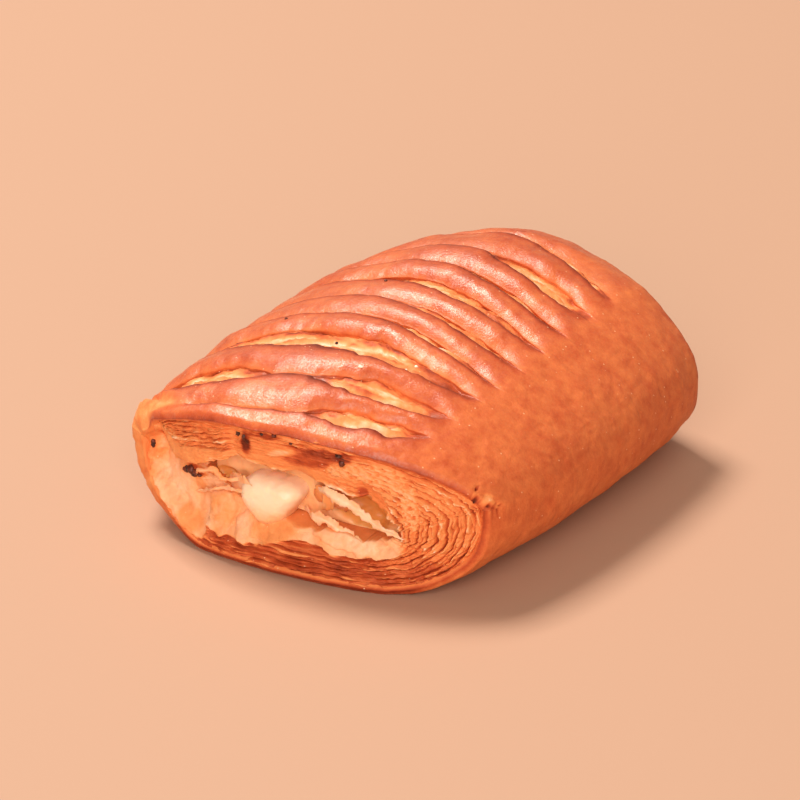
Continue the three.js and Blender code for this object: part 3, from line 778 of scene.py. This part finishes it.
def open_end(name, sign, shape, face_of, rim_seed):
    """The ring of one open end."""
    angle = np.linspace(0.0, 360.0, END_COLUMNS, endpoint=False)[:, None]
    inward = np.linspace(0.0, 1.0, END_STEPS)[None, :]
    proud = bell(np.minimum(angle, 360.0 - angle), 15.0, 40.0)  # the fold's plies at the back
    corner = (LOBE_ROUND + CORNER_DROP) * lobe(angle)
    sunk = RIM_ROUND + 0.2 + (corner if sign < 0 else -BACK_PROUD * proud)
    edge_x, edge_bow, edge_z = raised(angle, float(sign), flank_relief(angle, sign * HALF) - sunk)
    rim_x, rim_z = mouth(shape, angle)
    c, s = cos_sin(angle)
    around = points_of(8.0 * c, 8.0 * s, rim_seed)
    uneven = 1.0 + 0.10 * rough(around, 1.6, 3, rim_seed) * inward**3
    px, pz = mix(edge_x, rim_x, inward * uneven), mix(edge_z, rim_z, inward * uneven)
    recess, bake_and_shade = face_of(angle, inward, px, pz, edge_x, edge_z)
    fade = smoothstep(inward, 0.0, 0.02)
    bow = edge_bow * (1.0 - inward) ** 1.3
    y = sign * FACE_Y + bow - sign * recess * fade
    face = points_of(px, y, pz)
    hidden = []  # the tunnel, then the back of the ring
    for share in np.linspace(0.1, 1.0, TUNNEL_STEPS):
        hidden.append(points_of(mix(px[:, -1], rim_x[:, 0], share),
                                mix(y[:, -1], sign * (HALF - TUNNEL_END), share),
                                mix(pz[:, -1], rim_z[:, 0], share)))
    for share in (0.2, 0.6, 0.97):
        hidden.append(points_of(mix(rim_x, edge_x, share)[:, 0],
                                sign * (HALF - TUNNEL_END) + edge_bow[:, 0] * share,
                                np.maximum(mix(rim_z, edge_z, share)[:, 0], 0.8)))
    ring = np.concatenate([face, np.stack(hidden, 1)], 1)
    bake_and_shade = np.concatenate([bake_and_shade, np.full((END_COLUMNS, len(hidden)), 0.42)], 1)
    return grid_object(name, ring if sign > 0 else ring[::-1],
                       {"bake_and_shade": bake_and_shade if sign > 0 else bake_and_shade[::-1], "glaze": 0.0 * bake_and_shade})


plies = pastry_material("cut_plies", 0.30, 0.0, 0.56, 0.56, 0.10)
front_end = open_end("front_plies", -1, FRONT_MOUTH, front_face, 210)
back_end = open_end("back_plies", 1, BACK_MOUTH, back_face, 310)
for end in (front_end, back_end):
    end.data.materials.append(plies)
    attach(end, "root")
    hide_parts("pastry")

# The filling: soft melted cheese -----------------------------------------------------------------
# A body that fills the tunnel, with hollow, golden faces at the open ends, and a soft lump that
# swelled out of each end.
FILLING_GAP = 0.35
FILLING_FRONT, FILLING_BACK = 45.0, 46.5
# hollows in the two faces: x, height, half width, half height, turn, depth
FRONT_HOLLOWS = ((11.0, 14.4, 9.5, 4.0, -12, 3.4), (-18.5, 15.0, 3.6, 2.6, 10, 2.0))
BACK_HOLLOWS = ((-9.0, 15.0, 7.0, 3.6, 4, 5.0), (16.0, 14.0, 4.0, 2.6, 0, 3.0))
# outlines of the lumps, (x, height) round them, and where they start and end along the length
FRONT_LUMP = ((-12.9, 17.6), (-11.0, 19.0), (-7.9, 19.1), (-4.4, 18.8), (-1.4, 18.6), (0.6, 17.8),
              (1.3, 16.4), (0.2, 14.6), (-1.5, 12.4), (-3.6, 9.4), (-6.5, 8.1), (-9.1, 8.3),
              (-10.5, 9.7), (-12.0, 11.2), (-13.4, 12.8), (-13.7, 15.0))
BACK_LUMP = ((-4.0, 16.0), (-2.0, 19.0), (3.0, 19.8), (8.0, 19.2), (12.0, 17.6), (12.4, 14.6),
             (8.0, 12.6), (2.0, 12.6), (-2.6, 13.4))
FRONT_LUMP_REACH, BACK_LUMP_REACH = 51.2, 49.8
FILLING_COLUMNS, FACE_STEPS, BODY_STEPS, LUMP_STEPS = 240, 60, 10, 70

turn = np.linspace(0.0, 360.0, FILLING_COLUMNS, endpoint=False)


def filling_face(shape, sign, place, hollows, seed):
    """Rings from the tunnel's wall to the middle, hollowed, with how golden each point is."""
    rim_x, rim_z = mouth(shape, turn[:, None], -FILLING_GAP)
    inward = np.linspace(0.0, 0.99, FACE_STEPS)[None, :]
    px, pz = mix(rim_x, shape["x"], inward), mix(rim_z, shape["z"], inward)
    flat = points_of(px, pz, seed)
    depth, golden = 0.0 * px, 0.70 + 0.0 * px
    for hollow in hollows:
        share = ellipse_share(px, pz, *hollow[:5]) + 0.15 * rough(flat, 3.0, 3, seed)
        depth = np.maximum(depth, hollow[5] * falling(share, 0.2, 1.0))
        golden = np.maximum(golden, falling(share, 0.7, 1.2))
    depth += 0.5 * rough(flat, 3.5, 3, seed + 5)
    return points_of(px, sign * (place - depth * smoothstep(inward, 0.0, 0.1)), pz), golden


front, front_gold = filling_face(FRONT_MOUTH, -1, FILLING_FRONT, FRONT_HOLLOWS, 401)
back, back_gold = filling_face(BACK_MOUTH, 1, FILLING_BACK, BACK_HOLLOWS, 421)
body_lines = []
for share in np.linspace(0.0, 1.0, BODY_STEPS):
    y = mix(-FILLING_FRONT, FILLING_BACK, share)
    fx, fz = mouth(FRONT_MOUTH, turn, -FILLING_GAP)
    bx, bz = mouth(BACK_MOUTH, turn, -FILLING_GAP)
    part = (y + HALF) / LENGTH
    body_lines.append(points_of(mix(fx, bx, part), y, mix(fz, bz, part)))
body = np.stack(body_lines[1:-1], 1)
cheese_points = np.concatenate([front[:, ::-1], body, back], 1)
golden = np.concatenate([front_gold[:, ::-1], np.full(body.shape[:2], 0.3), back_gold], 1)
middles = np.stack([cheese_points[:, 0].mean(0), cheese_points[:, -1].mean(0)])
cheese = grid_object("cheese_body", cheese_points, {"golden": golden}, middles)


def smoothed(values, reach, edges):
    """A line of values averaged under a Hann window, reach of them either way."""
    window = np.hanning(2 * reach + 1)
    return np.convolve(np.pad(values, reach, edges), window / window.sum(), "valid")


def lump(name, corners, sign, start, reach, seed):
    """A soft dome over an outline: widest a little way out, then round to its tip, with dents."""
    middle = np.array(corners).mean(0)
    offsets = np.array(corners) - middle
    bearing = np.degrees(np.arctan2(offsets[:, 1], offsets[:, 0]))
    radius = smoothed(np.interp(turn, bearing, np.hypot(*offsets.T), period=360.0), 8, "wrap")
    t = np.linspace(0.0, 0.995, LUMP_STEPS)[None, :]
    size = np.cos(0.5 * np.pi * t) ** 0.46 * (0.86 + 0.16 * smoothstep(t, 0.0, 0.6))
    c, s = cos_sin(turn[:, None])
    px = middle[0] + radius[:, None] * size * c
    pz = middle[1] + radius[:, None] * size * s
    points = points_of(px, sign * mix(start, reach, np.sin(0.5 * np.pi * t)), pz)
    dents = 0.16 * noise(points, 9.0, seed) + 0.12 * rough(points, 2.2, 3, seed + 1)
    outwards = points_of(size * c, sign * (t + 0.2), size * s)
    outwards /= np.linalg.norm(outwards, axis=-1, keepdims=True)
    points += outwards * (dents * smoothstep(t, 0.0, 0.2))[..., None]
    tone = np.clip(0.55 * smoothstep(middle[1] - pz, -0.5, 4.5) + 0.25 * (1.0 - t), 0.0, 1.0)
    tips = np.stack([[middle[0], sign * start, middle[1]], points[:, -1].mean(0)])
    order = slice(None, None, -1) if sign < 0 else slice(None)
    return grid_object(name, points[order], {"golden": (tone + 0.0 * px)[order]}, tips)


front_lump = lump("cheese_lump_front", FRONT_LUMP, -1, FILLING_FRONT - 2.0, FRONT_LUMP_REACH, 441)
back_lump = lump("cheese_lump_back", BACK_LUMP, 1, FILLING_BACK - 2.0, BACK_LUMP_REACH, 451)

# Melted curd cheese: pale, moist and a little translucent, golden where fat and heat coloured it.
CLOUD_MM, CURD_MM, CURD_DEPTH = 3.0, 0.6, 0.10
melted, tree, shader = new_material("melted_cheese", {
    "Roughness": 0.42, "Subsurface Weight": 0.35, "Subsurface Radius": (1.0, 0.6, 0.3),
    "Subsurface Scale": 0.002,
})
place = add_node(tree, "TexCoord").outputs["Object"]
gold = add_node(tree, "Attribute", attribute_name="golden").outputs["Fac"]
cloudy = add_node(tree, "TexNoise", {"Vector": place}, {"Scale": 1000.0 / CLOUD_MM, "Detail": 4.0})
clouded = add_node(tree, "Math", {0: cloudy.outputs["Fac"]}, {1: 0.3, 2: -0.15},
                   operation="MULTIPLY_ADD")
tone = add_node(tree, "Math", {0: gold, 1: clouded.outputs[0]}, operation="ADD")
colour = colour_ramp(tree, tone.outputs[0], ((0.0, "#fadbbb"), (0.45, "#f7c294"), (1.0, "#e69a50")))
tree.links.new(colour, shader.inputs["Base Color"])
grainy = add_node(tree, "TexNoise", {"Vector": place}, {"Scale": 1000.0 / CURD_MM, "Detail": 2.0})
bump = add_node(tree, "Bump", {"Height": grainy.outputs["Fac"]},
                {"Strength": 0.7, "Distance": CURD_DEPTH * MM})
tree.links.new(bump.outputs["Normal"], shader.inputs["Normal"])
for piece in (cheese, front_lump, back_lump):
    piece.data.materials.append(melted)
    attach(piece, "root")
    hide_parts("cheese_filling")

# Torn membranes: thin shreds of inner dough across the front opening -----------------------------
# Each is a flat ribbon along a path of (x, height, recess), with ragged sides. Both of its ends
# are carried along the photo's line of sight to the surface behind, where they grow out of it.
SIGHT_X, SIGHT_Z = math.tan(AZIMUTH), math.tan(ELEVATION) / math.cos(AZIMUTH)
SEARCH_MM, ROOTED_MM = 0.6, 0.2
SHREDS = (
    ("shred_arch", ((-23.4, 15.6, 3.6), (-22.6, 17.0, 3.2), (-20.6, 17.5, 2.9), (-18.4, 18.1, 2.8),
                    (-16.8, 16.5, 3.0), (-14.6, 16.6, 3.2), (-11.5, 17.8, 3.4)), 1.2, 0.6, 0.20, 701),
    ("shred_lower", ((-23.2, 12.0, 3.9), (-18.6, 13.9, 3.3), (-15.5, 14.8, 3.2),
                     (-11.6, 14.4, 3.2)), 1.3, 0.6, 0.16, 705),
    ("shred_web", ((-15.8, 15.4, 3.8), (-12.6, 15.9, 3.6), (-10.0, 15.8, 3.2)), 4.6, 0.5, 0.12, 709),
    ("shred_upper", ((3.4, 18.6, 3.0), (6.2, 19.0, 2.7), (8.4, 18.3, 2.5), (12.1, 17.7, 2.4),
                     (14.6, 16.2, 2.3), (17.6, 14.6, 2.1), (20.8, 14.0, 1.7),
                     (24.2, 13.2, 1.0)), 2.4, 0.5, 0.06, 713),
    ("shred_teeth", ((0.6, 13.6, 4.6), (2.4, 12.2, 4.4), (4.6, 12.4, 4.2), (7.2, 11.8, 4.0),
                     (9.4, 10.9, 3.8), (11.6, 10.0, 3.6), (13.6, 9.4, 3.4)), 2.6, 0.75, 0.08, 717),
    ("shred_veil", ((2.4, 15.2, 5.2), (4.6, 16.8, 4.8), (7.4, 16.2, 4.8), (9.2, 14.0, 5.4)), 4.2, 0.7,
     0.30, 721),
)
SHRED_STEPS, SHRED_ROUND, SHRED_THICK = 220, 14, 0.28


def surface_points(piece):
    """The points of a piece, in millimetres."""
    found = np.empty(3 * len(piece.data.vertices), np.float32)
    piece.data.vertices.foreach_get("co", found)
    return found.reshape(-1, 3) / MM


surfaces = np.vstack([surface_points(piece) for piece in (crust, front_end, cheese, front_lump)])


def settle(place):
    """Carries a point along the line of sight to the first surface it meets. A step back by 1 is
    a step left by SIGHT_X and down by SIGHT_Z. Of the points close by, takes the closest."""
    back = surfaces[:, 1] - place[1]
    aside = np.hypot(surfaces[:, 0] - place[0] + SIGHT_X * back,
                     surfaces[:, 2] - place[2] + SIGHT_Z * back)
    near = aside < SEARCH_MM
    first = near & (surfaces[:, 1] < surfaces[near, 1].min() + 2.0 * SEARCH_MM)
    return surfaces[first][np.argmin(aside[first])]


def shred(name, path, width, ragged, bake_and_shade, seed):
    """A ribbon along a path: across it a flat ellipse whose two sides wander by a ragged share."""
    roots = [settle((x, recess - FACE_Y, z)) for x, z, recess in (path[0], path[-1])]
    start, stop = ((x, z, y + FACE_Y + ROOTED_MM) for x, y, z in roots)
    path = (start,) + path[1:-1] + (stop,)
    given = np.linspace(0.0, 1.0, len(path))
    t = np.linspace(0.0, 1.0, SHRED_STEPS)
    px, pz, recess = (smoothed(np.interp(t, given, line), 9, "edge") for line in zip(*path))
    dx, dz = np.gradient(px), np.gradient(pz)
    run = np.hypot(dx, dz)
    travelled = np.cumsum(run)
    turn = np.linspace(0.0, 2.0 * np.pi, SHRED_ROUND, endpoint=False)
    taper = np.sin(np.pi * np.clip(t, 0.02, 0.98)) ** 0.35
    sides = np.sin(turn)[None, :]
    path3 = points_of(travelled[:, None], np.sign(sides) * 9.0, seed)
    frayed = np.clip(0.9 + ragged * rough(path3, 1.3, 3, seed), 0.25, 2.2)
    half = width / 2.0 * taper[:, None] * frayed
    normal_x, normal_z = -dz / run, dx / run
    fold = 0.35 * rough(path3, 3.0, 2, seed + 3)
    y = -FACE_Y + recess[:, None] + fold - SHRED_THICK * taper[:, None] * np.cos(turn)
    points = points_of(px[:, None] + normal_x[:, None] * half * sides, y,
                       pz[:, None] + normal_z[:, None] * half * sides)
    values = bake_and_shade + 0.10 * rough(path3, 2.0, 2, seed + 5) + 0.10 * np.abs(sides)
    ends = np.stack([points[0].mean(0), points[-1].mean(0)])
    return grid_object(name, np.swapaxes(points, 0, 1), {"bake_and_shade": values.T, "glaze": 0.0 * values.T},
                       ends)


membrane = pastry_material("torn_membrane", 0.20, 0.0, 0.50, 0.50, 0.06)
membrane_shader = membrane.node_tree.nodes["Principled BSDF"]
membrane_shader.inputs["Subsurface Weight"].default_value = 0.35
for shape in SHREDS:
    torn = shred(*shape)
    torn.data.materials.append(membrane)
    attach(torn, "root")
    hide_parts("pastry")

# Burnt drops and stray crumbs --------------------------------------------------------------------
# Small rough lumps: cheese and juice that ran out and charred, and white crumbs in a slash.
# Each is x, y, z and three half sizes, and is settled half sunk in the surface behind that place.
BURNT_BITS = (
    (-26.2, -47.1, 15.6, 0.9, 0.8, 0.8), (-25.1, -47.2, 15.9, 0.9, 0.9, 0.9),
    (-24.6, -47.0, 15.0, 0.8, 0.7, 0.6), (-24.2, -46.9, 15.4, 0.6, 0.6, 0.5),
    (-23.4, -46.9, 14.9, 0.5, 0.5, 0.35), (-11.7, -51.6, 27.9, 0.5, 0.4, 0.4),
    (-6.1, -51.9, 29.0, 0.5, 0.4, 0.35), (-3.6, -51.9, 29.1, 0.45, 0.4, 0.3),
    (0.3, -51.9, 28.4, 0.35, 0.35, 0.25), (10.4, -51.5, 27.9, 0.7, 0.5, 0.4),
    (11.6, -51.5, 27.6, 0.6, 0.5, 0.45), (10.8, -51.2, 26.3, 0.6, 0.5, 0.7),
    (-34.8, -46.0, 19.2, 0.45, 0.5, 0.6), (-34.9, -46.0, 18.4, 0.4, 0.4, 0.5),
    (-10.9, -50.8, 27.0, 0.4, 0.3, 0.6),
)
WHITE_CRUMBS = ((2.0, -27.4, 35.6, 0.35, 0.3, 0.3), (10.4, -21.0, 35.0, 0.3, 0.35, 0.25),
                (9.2, -22.4, 34.9, 0.2, 0.25, 0.2))
# burnt specks on the crust: angle, place along the length, half size
SKIN_SPECKS = ((99.0, -24.1, 0.35), (124.0, -12.0, 0.30), (107.7, 7.6, 0.35))
BIT_ROUND, BIT_STEPS, SCORCH_MM = 26, 14, 0.7


def bits(name, places, roughness, seed):
    """Rough ellipsoids in one mesh."""
    turn = np.linspace(0.0, 2.0 * np.pi, BIT_ROUND, endpoint=False)[:, None]
    climb = np.linspace(0.0, np.pi, BIT_STEPS + 2)[None, 1:-1]
    ball = points_of(np.sin(climb) * np.cos(turn), np.sin(climb) * np.sin(turn), np.cos(climb))
    ball = np.vstack([ball.reshape(-1, 3), [[0, 0, 1], [0, 0, -1]]])
    vertices, quads, fans = [], [], []
    for number, place in enumerate(places):
        swell = 1.0 + roughness * rough(ball + number * 5.0, 0.7, 3, seed)
        vertices.append(settle(place) + ball * swell[:, None] * np.array(place[3:]))
        q, f = grid_faces(BIT_ROUND, BIT_STEPS, True, number * len(ball))
        quads.append(q)
        fans.append(f)
    return mesh_object(name, np.vstack(vertices), np.vstack(quads), np.vstack(fans), {})


def on_skin(degrees, y, size):
    """A round bit's place and half sizes, from where it sits on the crust."""
    x, bow, z = outline(degrees, y / HALF)
    return float(x), y + float(bow), float(z), size, size, size


char, tree, shader = new_material("charred_drops", {"Roughness": 0.5})  # dark, slightly shiny
place = add_node(tree, "TexCoord").outputs["Object"]
scorch = add_node(tree, "TexNoise", {"Vector": place}, {"Scale": 1000.0 / SCORCH_MM})
colour = colour_ramp(tree, scorch.outputs["Fac"], ((0.35, "#2a110b"), (0.65, "#6e2c16")))
tree.links.new(colour, shader.inputs["Base Color"])
burnt = bits("burnt_bits", BURNT_BITS + tuple(on_skin(*speck) for speck in SKIN_SPECKS), 0.30, 801)
burnt.data.materials.append(char)
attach(burnt, "root")
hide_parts("pastry")

# dry flecks of curd
starch = new_material("white_crumbs", {"Base Color": linear("#fff0d8"), "Roughness": 0.7})[0]
white = bits("white_crumbs", WHITE_CRUMBS, 0.4, 811)
white.data.materials.append(starch)
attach(white, "root")
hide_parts("pastry")

# Floor and light: a pale floor, one broad soft light from the back left and a weak one in front --
floor_mesh = bpy.data.meshes.new("floor")
reach = 3.0
floor_mesh.from_pydata([(-reach, -reach, 0), (reach, -reach, 0), (reach, reach, 0), (-reach, reach, 0)],
                       [], [(0, 1, 2, 3)])
floor_object = add_object("floor", floor_mesh)
pale_floor = new_material("pale_floor", {"Base Color": linear("#bc967d"), "Roughness": 0.7})[0]
floor_mesh.materials.append(pale_floor)


def add_light(name, direction, distance, size, power, colour):
    """A square light that shines on the pastry from a direction."""
    data = bpy.data.lights.new(name, "AREA")
    data.size = size
    data.energy = power
    data.color = linear(colour)[:3]
    light = add_object(name, data)
    towards = Vector(direction).normalized()
    light.location = towards * distance
    light.rotation_euler = towards.to_track_quat("Z", "Y").to_euler()


add_light("key", (-0.53, 0.22, 1.0), 2.4, 0.8, 71.0, "#fff3e8")
add_light("fill", (0.4, -1.0, 0.5), 2.2, 1.4, 46.0, "#fff3e8")
world = bpy.data.worlds.new("studio")
bpy.context.scene.world = world
world.use_nodes = True
world.node_tree.nodes["Background"].inputs["Color"].default_value = linear("#ffeedd")
world.node_tree.nodes["Background"].inputs["Strength"].default_value = 0.29
bpy.context.scene.view_settings.view_transform = "Standard"
